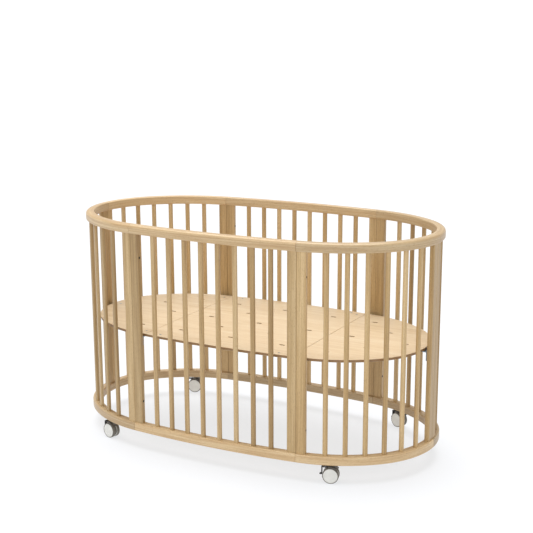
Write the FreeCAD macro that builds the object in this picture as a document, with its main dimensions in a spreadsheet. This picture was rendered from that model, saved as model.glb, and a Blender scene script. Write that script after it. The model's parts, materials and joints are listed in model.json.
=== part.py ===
"""Oval wooden baby crib on four braked twin-wheel casters.

Six wall panels stand round an oval: a slightly bowed one on each long side and four quarter ends. Every panel is a
top rail, a bottom rail, a row of slats and a half post at each end; neighbouring half posts are bolted together
through the seam. A thin plywood base in three boards rests on steel brackets. Millimetres, +Z up, X along the
length, origin on the floor under the middle of the oval.
"""
import FreeCAD, Part
import math
import os

os.makedirs("parts", exist_ok=True)
doc = FreeCAD.newDocument("baby_crib")
dims = doc.addObject("Spreadsheet::Sheet", "dims")

DRIVING = [
    # the oval, measured on the outer faces of the rails
    ("oval_length", 1380, "whole length"),
    ("oval_width", 726, "whole width"),
    ("side_radius", 3113, "bow of the long sides"),
    ("side_angle", 6, "half the angle of a long side, degrees"),
    ("shoulder_angle", 36, "angle of the shoulder arc that follows the long side, degrees"),
    # heights
    ("crib_height", 821.5, "floor to the top of the top rail"),
    # rails
    ("rail_width", 31, "rail, inside to outside"),
    ("top_rail_height", 32, "top rail, height"),
    ("top_rail_round", 11, "rounding of its outer upper edge"),
    ("top_rail_edge", 4, "rounding of its inner upper edge"),
    ("top_rail_ease", 6, "rounding of its lower edges"),
    ("bottom_rail_height", 30, "bottom rail, height"),
    ("bottom_rail_round", 4, "rounding of its upper edges"),
    ("bottom_rail_ease", 3, "rounding of its lower edges"),
    ("seam_gap", 0.3, "clearance from each rail or post end to the seam plane"),
    # half posts
    ("post_width", 33.5, "half post along the wall"),
    ("post_thick", 18, "half post through the wall"),
    ("post_round", 5, "rounding of the two free upright edges"),
    ("post_ease", 1, "easing of the two upright edges at the seam"),
    ("post_tenon_width", 18, "tenon along the wall"),
    ("post_tenon_thick", 9, "tenon through the wall"),
    # slats
    ("slat_width", 17, "slat along the wall"),
    ("slat_thick", 12.5, "slat through the wall"),
    ("slat_round", 5, "rounding of its upright edges"),
    ("slat_tenon_width", 10, "tenon along the wall"),
    ("slat_tenon_thick", 7, "tenon through the wall"),
    ("tenon_length", 10, "tenon into each rail"),
    ("tenon_clearance", 0.1, "gap round every tenon"),
    ("side_slats", 8, "slats in a side panel"),
    ("end_slats", 6, "slats in a quarter end panel"),
    ("side_first_slat", 94, "seam to first slat on a side, along the outer face"),
    ("end_first_slat", 101.6, "seam to first slat on a quarter end, along the outer face"),
    # joint bolts
    ("bolt_span", 526, "upper to lower bolt, about the middle of the posts"),
    ("bolt_shank", 6, "shank diameter"),
    ("bolt_head", 8, "head and threaded insert diameter"),
    ("bolt_head_length", 5, "head length"),
    ("bolt_key", 4, "hexagon key across flats"),
    ("nut_length", 14, "threaded insert length"),
    ("bolt_seat_depth", 20, "counterbore from the free side of the half post with the heads"),
    ("bolt_clearance", 0.2, "gap round head, insert and shank in the wood"),
    ("bolt_tip_room", 4, "free drilling past the insert"),
    ("cap_thick", 3, "plastic cap that closes the counterbore"),
    ("cap_sink", 0.8, "cap below the side of the post"),
    ("thread_clearance", 0.04, "gap between shank and insert"),
    # mattress base
    ("base_top", 424.5, "floor to the upper face of the base"),
    ("base_thick", 10, "plywood thickness"),
    ("base_inset", 39, "outer face of the rails to the edge of the base"),
    ("base_split", 293, "middle of the crib to each cross joint of the base"),
    ("base_gap", 0.5, "half the gap in a cross joint"),
    ("base_round", 1.5, "rounding of the board edges"),
    ("slot_length", 22, "ventilation slot, length"),
    ("slot_width", 8, "ventilation slot, width"),
    ("slot_pitch", 102, "step of the staggered slot pattern, lengthwise"),
    ("slot_step", 104, "step of the staggered slot pattern, crosswise"),
    ("slot_end_start", 373, "first slot column on the end boards"),
    # steel brackets under the base
    ("bracket_thick", 3, "steel thickness"),
    ("bracket_plate_length", 116, "plate across the joint"),
    ("bracket_plate_width", 62, "plate, from its edge at the post inwards"),
    ("bracket_shift", 20, "plate middle back from the seam towards the joint"),
    ("bracket_tongue", 44, "narrow part of the plate that crosses from the post, along the wall"),
    ("bracket_cover", 14, "edge of the boards to the wide part of the plate"),
    ("end_plate_length", 60, "plate at an end post, along the wall"),
    ("bracket_flange_length", 60, "upright flange along the post"),
    ("bracket_flange_height", 30, "upright flange height"),
    ("screw_shank", 4, "screw diameter"),
    ("screw_head", 8, "screw head diameter"),
    ("screw_head_rise", 1.6, "height of the domed heads on the flanges"),
    ("screw_sink", 0.1, "flat heads below the face of the base"),
    ("screw_clearance", 0.1, "gap round every screw"),
    ("screw_bite", 12, "screw length in the wood"),
    # casters
    ("wheel_headroom", 9.5, "top of a wheel to the underside of the bottom rail"),
    ("caster_out", 452, "middle of the crib to a caster stem, lengthwise"),
    ("wheel_diameter", 56, "wheel"),
    ("wheel_width", 13, "one wheel of the pair"),
    ("wheel_round", 3, "rounding of the tread edges"),
    ("wheel_dish", 1, "sunk face of the hub disc"),
    ("wheel_rim", 4, "rim round the sunk face"),
    ("wheel_bore_depth", 10.5, "blind bore for the axle"),
    ("axle_diameter", 6, "axle"),
    ("axle_reach", 10, "axle into each wheel"),
    ("running_clearance", 0.05, "gap between axle and wheel, stem and housing, pin and lever"),
    ("side_clearance", 0.6, "gap between wheel and housing plate"),
    ("trail", 14, "stem axis to axle"),
    ("plate_width", 6, "middle plate of the housing"),
    ("plate_radius", 24, "middle plate of the housing"),
    ("hood_clearance", 1.4, "gap between wheel and hood"),
    ("hood_thick", 2.6, "hood"),
    ("hood_front", 40, "front end of the hood, degrees above the axle"),
    ("hood_back", 102, "back end of the hood, degrees"),
    ("boss_diameter", 17, "boss round the stem"),
    ("stem_diameter", 8, "steel stem"),
    ("stem_insert", 22, "stem into the rail"),
    ("stem_socket_depth", 7.5, "stem into the housing, clear of the wheels below"),
    ("stem_flange", 20, "flange under the rail, diameter"),
    ("stem_flange_thick", 1.6, "flange thickness"),
    ("lever_width", 12, "brake lever"),
    ("lever_thick", 2.6, "brake lever"),
    ("lever_clearance", 1.8, "gap between wheel and lever"),
    ("lever_top", 118, "lever pivot, degrees round the axle from the front"),
    ("lever_low", 1, "axle to the underside of the lever foot, upwards"),
    ("lever_height", 28, "upright plate of the lever"),
    ("lever_foot", 6, "foot sticking out"),
    ("lever_eye", 3, "radius of the lever eye"),
    ("pivot_pin", 3, "pivot pin diameter"),
    ("pivot_reach", 6, "pivot pin each side of the plate middle"),
    ("swivel_front_left", -14, "resting turn of the front left caster, degrees"),
    ("swivel_front_right", 16, "resting turn of the front right caster, degrees"),
    ("swivel_back_left", 17.5, "resting turn of the back left caster, degrees"),
    ("swivel_back_right", -24, "resting turn of the back right caster, degrees"),
]
DERIVED = [
    ("rail_rise", "=wheel_diameter + wheel_headroom", "floor to the underside of the bottom rail"),
    ("turn_two", "=side_angle + shoulder_angle", "heading where shoulder and end arcs meet"),
    ("reach_x", "=oval_length / 2 - side_radius * sin(side_angle)", "left for the two smaller arcs, lengthwise"),
    ("reach_y", "=oval_width / 2 - side_radius * (1 - cos(side_angle))", "left for the two smaller arcs, crosswise"),
    ("arc_det", "=(sin(turn_two) - sin(side_angle)) * cos(turn_two)"
                " - (1 - sin(turn_two)) * (cos(side_angle) - cos(turn_two))", "determinant of the pair of conditions"),
    ("shoulder_radius", "=(reach_x * cos(turn_two) - (1 - sin(turn_two)) * reach_y) / arc_det", "shoulder arc"),
    ("end_radius", "=((sin(turn_two) - sin(side_angle)) * reach_y"
                   " - (cos(side_angle) - cos(turn_two)) * reach_x) / arc_det", "end arc"),
    ("side_centre_y", "=oval_width / 2 - side_radius", "centre of the side arc"),
    ("shoulder_centre_x", "=(side_radius - shoulder_radius) * sin(side_angle)", "centre of the shoulder arc"),
    ("shoulder_centre_y", "=side_centre_y + (side_radius - shoulder_radius) * cos(side_angle)", "the same"),
    ("arc_shift", "=shoulder_radius - end_radius", "shoulder centre to end centre"),
    ("bottom_rail_top", "=rail_rise + bottom_rail_height", "upper face of the bottom rail"),
    ("top_rail_base", "=crib_height - top_rail_height", "underside of the top rail"),
    ("clear_height", "=top_rail_base - bottom_rail_top", "between the rails"),
    ("wall_middle", "=(top_rail_base + bottom_rail_top) / 2", "middle height between the rails"),
    ("axle_height", "=wheel_diameter / 2", "axle above the floor"),
    ("boss_top", "=rail_rise - stem_flange_thick - side_clearance", "upper end of the housing boss"),
]
for row, (alias, value, note) in enumerate(DRIVING + DERIVED, 1):
    dims.set("A%d" % row, note)
    dims.set("B%d" % row, str(value))
    dims.setAlias("B%d" % row, alias)
doc.recompute()


def val(alias):
    """Number held by a named cell."""
    return float(dims.get(alias))


def cell(alias):
    """Expression that reads a named cell."""
    return "<<dims>>." + alias


def bind(obj, **links):
    """Ties properties of an object to expressions; a dot in a property name is written as two underscores."""
    for prop, text in links.items():
        obj.setExpression(prop.replace("__", "."), text)


# ---------------------------------------------------------------- sketch helpers
def new_body(name):
    body = doc.addObject("PartDesign::Body", name)
    body.Label = name
    return body


def new_sketch(body, role, name):
    sketch = body.newObject("Sketcher::SketchObject", name)
    plane = [o for o in body.Origin.OriginFeatures if o.Role == role][0]
    sketch.AttachmentSupport = (plane, [""])
    sketch.MapMode = "FlatFace"
    return sketch


def rounded_section(sketch, left, low, wide, high, r_low, r_high, r_edge=None):
    """Rectangle with rounded corners, each size an expression and its present value; r_edge is the upper left one."""
    (x, xe), (y, ye), (w, we), (h, he), (a, ae), (b, be) = left, low, wide, high, r_low, r_high
    c, ce = r_edge or r_high
    vec = FreeCAD.Vector
    corner = [(x + w - a, y + a, a, -90), (x + w - b, y + h - b, b, 0),
              (x + c, y + h - c, c, 90), (x + a, y + a, a, 180)]
    for p, q in (((x + a, y), (x + w - a, y)), ((x + w, y + a), (x + w, y + h - b)),
                 ((x + w - b, y + h), (x + c, y + h)), ((x, y + h - c), (x, y + a))):
        sketch.addGeometry(Part.LineSegment(vec(p[0], p[1], 0), vec(q[0], q[1], 0)), False)
    for cx, cy, r, start in corner:
        circle = Part.Circle(vec(cx, cy, 0), vec(0, 0, 1), r)
        sketch.addGeometry(Part.ArcOfCircle(circle, math.radians(start), math.radians(start + 90)), False)
    import Sketcher
    add = lambda *args: sketch.addConstraint(Sketcher.Constraint(*args))
    add("Horizontal", 0), add("Horizontal", 2), add("Vertical", 1), add("Vertical", 3)
    for line, arc, after in ((0, 4, 1), (1, 5, 2), (2, 6, 3), (3, 7, 0)):
        add("Tangent", line, 2, arc, 1)
        add("Tangent", arc, 2, after, 1)
    sizes = [("Radius", (4, a), ae), ("Radius", (7, a), ae), ("Radius", (5, b), be), ("Radius", (6, c), ce),
             ("DistanceX", (-1, 1, 3, 1, x), xe), ("DistanceX", (3, 1, 1, 1, w), we),
             ("DistanceY", (-1, 1, 0, 1, y), ye), ("DistanceY", (0, 1, 2, 1, h), he)]
    for kind, args, text in sizes:
        index = add(kind, *args)
        sketch.setExpression("Constraints[%d]" % index, text)


def size(alias):
    return val(alias), cell(alias)


def pad_both_ways(body, sketch, length, name):
    pad = body.newObject("PartDesign::Pad", name)
    pad.Profile = sketch
    pad.Midplane = True
    bind(pad, Length=length)
    sketch.Visibility = False
    return pad


# ---------------------------------------------------------------- places round the oval
R0, R1, R2 = val("side_radius"), val("shoulder_radius"), val("end_radius")
A0, A2 = math.radians(val("side_angle")), math.radians(val("turn_two"))
SIDE_HALF = R0 * A0
SHOULDER = R1 * (A2 - A0)
QUARTER = SHOULDER + R2 * (math.pi / 2 - A2)
CENTRES = [(0.0, val("side_centre_y"))]
CENTRES.append((val("shoulder_centre_x"), val("shoulder_centre_y")))
CENTRES.append((CENTRES[1][0] + (R1 - R2) * math.sin(A2), CENTRES[1][1] + (R1 - R2) * math.cos(A2)))


def heading(run):
    """Turn from the middle of the back side after a run along the outer face, with the arc it falls on."""
    if abs(run) <= SIDE_HALF:
        return run / R0, 0
    if run <= SIDE_HALF + SHOULDER:
        return A0 + (run - SIDE_HALF) / R1, 1
    return A2 + (run - SIDE_HALF - SHOULDER) / R2, 2


def at_run(run, inset):
    """Point a given distance inside the outer face after a run from the middle of the back side."""
    turn, arc = heading(run)
    radius = (R0, R1, R2)[arc] - inset
    return CENTRES[arc][0] + radius * math.sin(turn), CENTRES[arc][1] + radius * math.cos(turn), turn


def standing(x, y, z, degrees):
    return FreeCAD.Placement(FreeCAD.Vector(x, y, z), FreeCAD.Rotation(FreeCAD.Vector(0, 0, 1), degrees))


MID = val("rail_width") / 2
SEAMS = {"side": SIDE_HALF, "end": SIDE_HALF + QUARTER}


def slat_runs(count, first, start, length):
    step = (length - 2 * first) / (count - 1)
    return [start + first + step * k for k in range(count)]


SIDE_RUNS = slat_runs(int(val("side_slats")), val("side_first_slat"), -SIDE_HALF, 2 * SIDE_HALF)
END_RUNS = slat_runs(int(val("end_slats")), val("end_first_slat"), SIDE_HALF, QUARTER)


def slat_places(runs):
    places = []
    for run in runs:
        x, y, turn = at_run(run, MID)
        places.append(standing(x, y, val("wall_middle"), -math.degrees(turn)))
    return places


def post_places(seam, sign, z):
    """Frame of a half post: its Y runs away from the seam, towards more run for sign +1."""
    x, y, turn = at_run(SEAMS[seam], MID)
    return standing(x, y, z, (-90 if sign > 0 else 90) - math.degrees(turn))


# ---------------------------------------------------------------- rails
def side_rail(name, base, high, r_low, r_high, r_edge):
    """Back side rail: its section turned about the centre of the side arc."""
    body = new_body(name)
    sketch = new_sketch(body, "YZ_Plane", name + "_section")
    left = (R0 - val("rail_width"), cell("side_radius") + " - " + cell("rail_width"))
    rounded_section(sketch, left, size(base), size("rail_width"), size(high), size(r_low), size(r_high), size(r_edge))
    turn = body.newObject("PartDesign::Revolution", name + "_sweep")
    turn.Profile = sketch
    turn.ReferenceAxis = (sketch, ["V_Axis"])
    turn.Midplane = True
    bind(turn, Angle="2 * (%s - 57.29578 * %s / %s)" % (cell("side_angle"), cell("seam_gap"), cell("side_radius")))
    sketch.Visibility = False
    bind(body, Placement__Base__y=cell("side_centre_y"))
    return body


def end_rail(name, base, high, r_low, r_high, r_edge):
    """Quarter rail of the back right corner: one section turned back round the shoulder and on round the end."""
    import Sketcher
    body = new_body(name)
    sketch = new_sketch(body, "YZ_Plane", name + "_section")
    left = (R1 - val("rail_width"), cell("shoulder_radius") + " - " + cell("rail_width"))
    rounded_section(sketch, left, size(base), size("rail_width"), size(high), size(r_low), size(r_high), size(r_edge))
    shift = R1 - R2
    line = Part.LineSegment(FreeCAD.Vector(shift, 0, 0), FreeCAD.Vector(shift, 100, 0))
    axis = sketch.addGeometry(line, True)
    sketch.addConstraint(Sketcher.Constraint("Vertical", axis))
    index = sketch.addConstraint(Sketcher.Constraint("DistanceX", -1, 1, axis, 1, shift))
    sketch.setExpression("Constraints[%d]" % index, cell("arc_shift"))
    sketch.addConstraint(Sketcher.Constraint("DistanceY", -1, 1, axis, 1, 0))
    sketch.addConstraint(Sketcher.Constraint("DistanceY", axis, 1, axis, 2, 100))
    doc.recompute()
    back = body.newObject("PartDesign::Revolution", name + "_shoulder")
    back.Profile = sketch
    back.ReferenceAxis = (sketch, ["V_Axis"])
    bind(back, Angle="%s - 57.29578 * %s / %s" % (cell("shoulder_angle"), cell("seam_gap"), cell("shoulder_radius")))
    doc.recompute()
    if back.Shape.BoundBox.XMax > 1 + back.Shape.BoundBox.XMin * -1:
        back.Reversed = True
    on = body.newObject("PartDesign::Revolution", name + "_end")
    on.Profile = sketch
    on.ReferenceAxis = (sketch, ["Axis0"])
    on.Reversed = not back.Reversed
    bind(on, Angle="90 - %s - 57.29578 * %s / %s" % (cell("turn_two"), cell("seam_gap"), cell("end_radius")))
    sketch.Visibility = False
    body.Placement = standing(0, 0, 0, -val("turn_two"))
    bind(body, Placement__Base__x=cell("shoulder_centre_x"), Placement__Base__y=cell("shoulder_centre_y"))
    body.setExpression("Placement.Rotation.Angle", cell("turn_two"))
    body.setExpression("Placement.Rotation.Axis.z", "-1")
    return body


def mortises(name, z, slats, posts):
    """Sockets for the tenons of a panel, each larger than its tenon by the clearance, standing upright at height z."""
    gap = val("tenon_clearance")
    deep = val("tenon_length") + gap
    solids = []
    for place in slats:
        w, t = val("slat_tenon_width") + 2 * gap, val("slat_tenon_thick") + 2 * gap
        box = Part.makeBox(w, t, deep, FreeCAD.Vector(-w / 2, -t / 2, z))
        place = FreeCAD.Placement(FreeCAD.Vector(place.Base.x, place.Base.y, 0), place.Rotation)
        solids.append(moved(box, place))
    for place in posts:
        w, t = val("post_tenon_width") + 2 * gap, val("post_tenon_thick") + 2 * gap
        middle = (val("post_width") + val("seam_gap")) / 2
        solids.append(moved(Part.makeBox(t, w, deep, FreeCAD.Vector(-t / 2, middle - w / 2, z)), place))
    feature = doc.addObject("Part::Feature", name)
    feature.Shape = Part.makeCompound(solids)
    return feature


def moved(shape, place):
    copy = shape.copy()
    copy.Placement = place.multiply(copy.Placement)
    return copy


def cut(name, base, *tools):
    for number, tool in enumerate(tools, 1):
        result = doc.addObject("Part::Cut", name if number == len(tools) else "%s_%d" % (name, number))
        result.Base, result.Tool = base, tool
        base = result
    return base


def fuse(name, *shapes):
    result = doc.addObject("Part::MultiFuse", name)
    result.Shapes = list(shapes)
    return result


def cylinder(name, radius, height, place=None):
    made = doc.addObject("Part::Cylinder", name)
    made.Placement = place or FreeCAD.Placement()
    bind(made, Radius=radius, Height=height)
    return made


SIDE_SLATS, END_SLATS = slat_places(SIDE_RUNS), slat_places(END_RUNS)
MIRROR_X = FreeCAD.Vector(1, 0, 0)
MIRROR_Y = FreeCAD.Vector(0, 1, 0)


def side_posts():
    right = post_places("side", -1, 0)
    x, y = right.Base.x, right.Base.y
    left = standing(-x, y, 0, -90 + val("side_angle"))
    return [right, left]


SIDE_POSTS = side_posts()
END_POSTS = [post_places("side", 1, 0), post_places("end", -1, 0)]
rails = {}
for level, base, high, r_low, r_high, r_edge, foot in (
        ("top", "top_rail_base", "top_rail_height", "top_rail_ease", "top_rail_round", "top_rail_edge",
         val("top_rail_base")),
        ("bottom", "rail_rise", "bottom_rail_height", "bottom_rail_ease", "bottom_rail_round", "bottom_rail_round",
         val("bottom_rail_top") - val("tenon_length") - val("tenon_clearance"))):
    blank = side_rail(level + "_side_blank", base, high, r_low, r_high, r_edge)
    holes = mortises(level + "_side_mortises", foot, SIDE_SLATS, SIDE_POSTS)
    rails[level, "side"] = cut(level + "_side_rail", blank, holes)
    blank = end_rail(level + "_end_blank", base, high, r_low, r_high, r_edge)
    holes = mortises(level + "_end_mortises", foot, END_SLATS, END_POSTS)
    rails[level, "end"] = cut(level + "_end_rail", blank, holes)
doc.recompute()


# ---------------------------------------------------------------- casters: where the stems stand
def stem_point():
    """Point on the rail middle at the stated distance along the crib."""
    low, high = 0.0, SIDE_HALF + QUARTER
    for _ in range(60):
        middle = (low + high) / 2
        if at_run(middle, MID)[0] < val("caster_out"):
            low = middle
        else:
            high = middle
    return at_run(low, MID)[:2]


STEM_X, STEM_Y = stem_point()
socket = cylinder("stem_hole", "%s / 2 + %s" % (cell("stem_diameter"), cell("running_clearance")),
                  "%s + 1" % cell("stem_insert"), standing(STEM_X, STEM_Y, 0, 0))
bind(socket, Placement__Base__z=cell("rail_rise"))
rails["bottom", "end"] = cut("bottom_end_rail_bored", rails["bottom", "end"], socket)

NODES = {}


def copy_node(label, source, turned=False):
    """A node that shows a design as it stands or turned half round the upright axis."""
    node = doc.addObject("Part::Compound", label)
    node.Links = [source]
    node.Placement = standing(0, 0, 0, 180 if turned else 0)
    NODES[label] = node
    return node


def mirror_node(label, source, normal):
    node = doc.addObject("Part::Mirroring", label)
    node.Source = source
    node.Normal = normal
    NODES[label] = node
    return node


def four_corners(prefix, source, suffix=""):
    copy_node(prefix + "_back_right" + suffix, source)
    copy_node(prefix + "_front_left" + suffix, source, True)
    mirror_node(prefix + "_back_left" + suffix, source, MIRROR_X)
    mirror_node(prefix + "_front_right" + suffix, source, MIRROR_Y)


for level in ("top", "bottom"):
    copy_node(level + "_rail_back", rails[level, "side"])
    copy_node(level + "_rail_front", rails[level, "side"], True)
    four_corners(level + "_rail", rails[level, "end"])


# ---------------------------------------------------------------- slats
slat = new_body("slat")
outline = new_sketch(slat, "XY_Plane", "slat_section")
rounded_section(outline, (-val("slat_width") / 2, "-%s / 2" % cell("slat_width")),
                (-val("slat_thick") / 2, "-%s / 2" % cell("slat_thick")),
                size("slat_width"), size("slat_thick"), size("slat_round"), size("slat_round"))
pad_both_ways(slat, outline, cell("clear_height"), "slat_length")
core = new_sketch(slat, "XY_Plane", "slat_tenon_section")
edge = (0.5, "0.5")
rounded_section(core, (-val("slat_tenon_width") / 2, "-%s / 2" % cell("slat_tenon_width")),
                (-val("slat_tenon_thick") / 2, "-%s / 2" % cell("slat_tenon_thick")),
                size("slat_tenon_width"), size("slat_tenon_thick"), edge, edge)
pad_both_ways(slat, core, "%s + 2 * %s" % (cell("clear_height"), cell("tenon_length")), "slat_tenons")
doc.recompute()


def row_of_slats(name, places):
    """Every slat of one panel, as copies of the one slat."""
    feature = doc.addObject("Part::Feature", name)
    feature.Shape = Part.makeCompound([moved(slat.Shape, place) for place in places])
    return feature


side_row = row_of_slats("side_row", SIDE_SLATS)
end_row = row_of_slats("end_row", END_SLATS)
copy_node("slats_back", side_row)
copy_node("slats_front", side_row, True)
four_corners("slats", end_row)


# ---------------------------------------------------------------- half posts
post = new_body("half_post")
outline = new_sketch(post, "XY_Plane", "post_section")
rounded_section(outline, (-val("post_thick") / 2, "-%s / 2" % cell("post_thick")), size("seam_gap"),
                size("post_thick"), (val("post_width") - val("seam_gap"), cell("post_width") + " - " + cell("seam_gap")),
                size("post_ease"), size("post_round"))
pad_both_ways(post, outline, cell("clear_height"), "post_length")
core = new_sketch(post, "XY_Plane", "post_tenon_section")
rounded_section(core, (-val("post_tenon_thick") / 2, "-%s / 2" % cell("post_tenon_thick")),
                ((val("post_width") + val("seam_gap") - val("post_tenon_width")) / 2,
                 "(%s + %s - %s) / 2" % (cell("post_width"), cell("seam_gap"), cell("post_tenon_width"))),
                size("post_tenon_thick"), size("post_tenon_width"), edge, edge)
pad_both_ways(post, core, "%s + 2 * %s" % (cell("clear_height"), cell("tenon_length")), "post_tenons")
doc.recompute()


def along_y(y, z=0.0):
    """Frame whose Z axis lies along the wall, starting y away from the seam."""
    return FreeCAD.Placement(FreeCAD.Vector(0, y, z), FreeCAD.Rotation(FreeCAD.Vector(1, 0, 0), -90))


def bolt_holes(kind, bores):
    """Drillings for both bolts of a half post; each bore is radius, depth and where it starts from the seam."""
    tools = []
    for level, sign in (("upper", ""), ("lower", "-")):
        for role, radius, depth, start in bores:
            made = cylinder("%s_%s_%s" % (kind, level, role), radius, depth, along_y(-1))
            bind(made, Placement__Base__y=start, Placement__Base__z="%s%s / 2" % (sign, cell("bolt_span")))
            tools.append(made)
    return fuse(kind + "_holes", *tools)


shank_hole = "%s / 2 + %s" % (cell("bolt_shank"), cell("bolt_clearance"))
head_hole = "%s / 2 + %s" % (cell("bolt_head"), cell("bolt_clearance"))
head_side = cut("head_side_half_post", post, bolt_holes("head", [
    ("shank", shank_hole, "%s + 2" % cell("post_width"), "-1"),
    ("seat", head_hole, "%s + 1" % cell("bolt_seat_depth"), "%s - %s" % (cell("post_width"), cell("bolt_seat_depth")))]))
insert_side = cut("insert_side_half_post", post, bolt_holes("insert", [
    ("shank", shank_hole, "%s + %s + 1" % (cell("nut_length"), cell("bolt_tip_room")), "-1"),
    ("seat", head_hole, "%s + %s + %s + 1" % (cell("nut_length"), cell("seam_gap"), cell("bolt_clearance")), "-1")]))
doc.recompute()


def half_post(label, place):
    """Half post at its place; in each double post one half takes the bolt heads and the other the inserts."""
    node = doc.addObject("Part::Compound", label)
    node.Links = [head_side if label in HEAD_SIDES else insert_side]
    node.Placement = place
    bind(node, Placement__Base__z=cell("wall_middle"))
    NODES[label] = node


def turned(place):
    return standing(0, 0, 0, 180).multiply(place)


def flipped(place):
    """The same upright frame seen in a mirror set across the length; a half post has no handedness."""
    angle = place.Rotation.toEuler()[0]
    return standing(-place.Base.x, place.Base.y, place.Base.z, -angle)


HEAD_SIDES = ("post_back_right_outer", "post_back_left_inner", "post_front_left_inner", "post_front_right_outer",
              "post_right_end_back", "post_left_end_back")
BACK_RIGHT = {"inner": SIDE_POSTS[0], "outer": END_POSTS[0]}
for which, place in BACK_RIGHT.items():
    half_post("post_back_right_" + which, place)
    half_post("post_front_left_" + which, turned(place))
    half_post("post_back_left_" + which, flipped(place))
    half_post("post_front_right_" + which, turned(flipped(place)))
half_post("post_right_end_back", END_POSTS[1])
half_post("post_left_end_front", turned(END_POSTS[1]))
half_post("post_left_end_back", flipped(END_POSTS[1]))
half_post("post_right_end_front", turned(flipped(END_POSTS[1])))


# ---------------------------------------------------------------- joint bolts and threaded inserts
SEAT = val("post_width") - val("bolt_seat_depth")
seat = "(%s - %s)" % (cell("post_width"), cell("bolt_seat_depth"))
LIP = val("seam_gap") + val("bolt_clearance")          # seam plane to the near end of the insert
lip = "(%s + %s)" % (cell("seam_gap"), cell("bolt_clearance"))
shank = cylinder("bolt_shank_bar", cell("bolt_shank") + " / 2", "%s + %s + %s - 1" % (seat, lip, cell("nut_length")),
                 along_y(-LIP - val("nut_length") + 1))
head = cylinder("bolt_head_bar", cell("bolt_head") + " / 2", cell("bolt_head_length"), along_y(SEAT))
key = doc.addObject("Part::Prism", "bolt_key_hole")
key.Polygon = 6
key.Placement = along_y(SEAT + val("bolt_head_length") * 0.35)
bind(key, Circumradius=cell("bolt_key") + " / 1.7321", Height=cell("bolt_head_length"))
bolt = cut("bolt", fuse("bolt_blank", shank, head), key)
nut_bar = cylinder("insert_bar", cell("bolt_head") + " / 2", cell("nut_length"), along_y(-LIP - val("nut_length")))
nut_bore = cylinder("insert_bore", "%s / 2 + %s" % (cell("bolt_shank"), cell("thread_clearance")),
                    cell("nut_length") + " + 2", along_y(-LIP - val("nut_length") - 1))
nut = cut("insert", nut_bar, nut_bore)
cap = cylinder("cap_bar", "%s / 2 + %s - 0.05" % (cell("bolt_head"), cell("bolt_clearance")), cell("cap_thick"),
               along_y(val("post_width") - val("cap_sink") - val("cap_thick")))
doc.recompute()


def at_joints(label, shape):
    """The same fastener twice on each of the six double posts."""
    solids = []
    middle, half = val("wall_middle"), val("bolt_span") / 2
    frames = [END_POSTS[0], flipped(SIDE_POSTS[0]), turned(SIDE_POSTS[0]), turned(flipped(END_POSTS[0])),
              END_POSTS[1], flipped(END_POSTS[1])]
    for place in frames:
        for z in (middle - half, middle + half):
            solids.append(moved(shape, standing(place.Base.x, place.Base.y, z, place.Rotation.toEuler()[0])))
    feature = doc.addObject("Part::Feature", label)
    feature.Shape = Part.makeCompound(solids)
    NODES[label] = feature


at_joints("joint_bolts", bolt.Shape)
at_joints("joint_nuts", nut.Shape)
at_joints("bolt_caps", cap.Shape)


# ---------------------------------------------------------------- mattress base
def oval_face(inset):
    """Face bounded by the oval drawn a distance inside the outer faces of the rails."""
    vec = FreeCAD.Vector
    marks = [0.0, SIDE_HALF, SIDE_HALF + SHOULDER, SIDE_HALF + QUARTER]
    quarter = []
    for start, stop in zip(marks, marks[1:]):
        middle = (start + stop) / 2
        shift = 1e-7 if start else 0.0
        quarter.append([at_run(run, inset)[:2] for run in (start + shift, middle, stop)])
    quarter[0][0] = (0.0, quarter[0][0][1])
    quarter[1][0], quarter[2][0] = quarter[0][2], quarter[1][2]
    quarter[2][2] = (quarter[2][2][0], 0.0)
    edges = []
    for sx, sy in ((1, 1), (1, -1), (-1, -1), (-1, 1)):
        for p, q, r in quarter:
            edges.append(Part.Arc(*[vec(sx * a, sy * b, 0) for a, b in (p, q, r)]).toShape())
    wire = Part.Wire(Part.sortEdges(edges)[0])
    return Part.Face(wire)


base_face = doc.addObject("Part::Feature", "base_outline")
base_face.Shape = oval_face(val("base_inset"))
sheet_blank = doc.addObject("Part::Extrusion", "base_sheet")
sheet_blank.Base = base_face
sheet_blank.DirMode = "Custom"
sheet_blank.Dir = FreeCAD.Vector(0, 0, 1)
sheet_blank.Solid = True
bind(sheet_blank, LengthFwd=cell("base_thick"), Placement__Base__z="%s - %s" % (cell("base_top"), cell("base_thick")))
doc.recompute()


def slot_centres(board):
    """Staggered rows of slots that stay a hand's width inside the edge."""
    pitch, step, first = val("slot_pitch"), val("slot_step"), val("slot_end_start")
    columns = []
    if board == "middle":
        count = int((val("base_split") - 40) // pitch)
        columns = [(k * pitch, k) for k in range(-count, count + 1)]
    else:
        k, x = 0, first
        while x < val("oval_length") / 2 - val("base_inset") - 30:
            columns.append((x, k))
            k, x = k + 1, x + pitch
    found = []
    for x, k in columns:
        rows = (-2, 0, 2) if k % 2 == 0 else (-1, 1)
        for row in rows:
            y = row * step
            inside = base_face.Shape.isInside(FreeCAD.Vector(x, abs(y) + 55, 0), 0.01, True)
            if inside and base_face.Shape.isInside(FreeCAD.Vector(x + math.copysign(55, x), y, 0), 0.01, True):
                found.append((x, y))
    return found


def slots(board):
    length, width, top = val("slot_length"), val("slot_width"), val("base_top")
    solids = []
    for x, y in slot_centres(board):
        bar = Part.makeBox(length - width, width, val("base_thick") + 2,
                           FreeCAD.Vector(x - (length - width) / 2, y - width / 2, top - val("base_thick") - 1))
        ends = [Part.makeCylinder(width / 2, val("base_thick") + 2,
                                  FreeCAD.Vector(x + side * (length - width) / 2, y, top - val("base_thick") - 1))
                for side in (-1, 1)]
        solids.append(bar.fuse(ends).removeSplitter())
    feature = doc.addObject("Part::Feature", board + "_slots")
    feature.Shape = Part.makeCompound(solids)
    return feature


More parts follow.
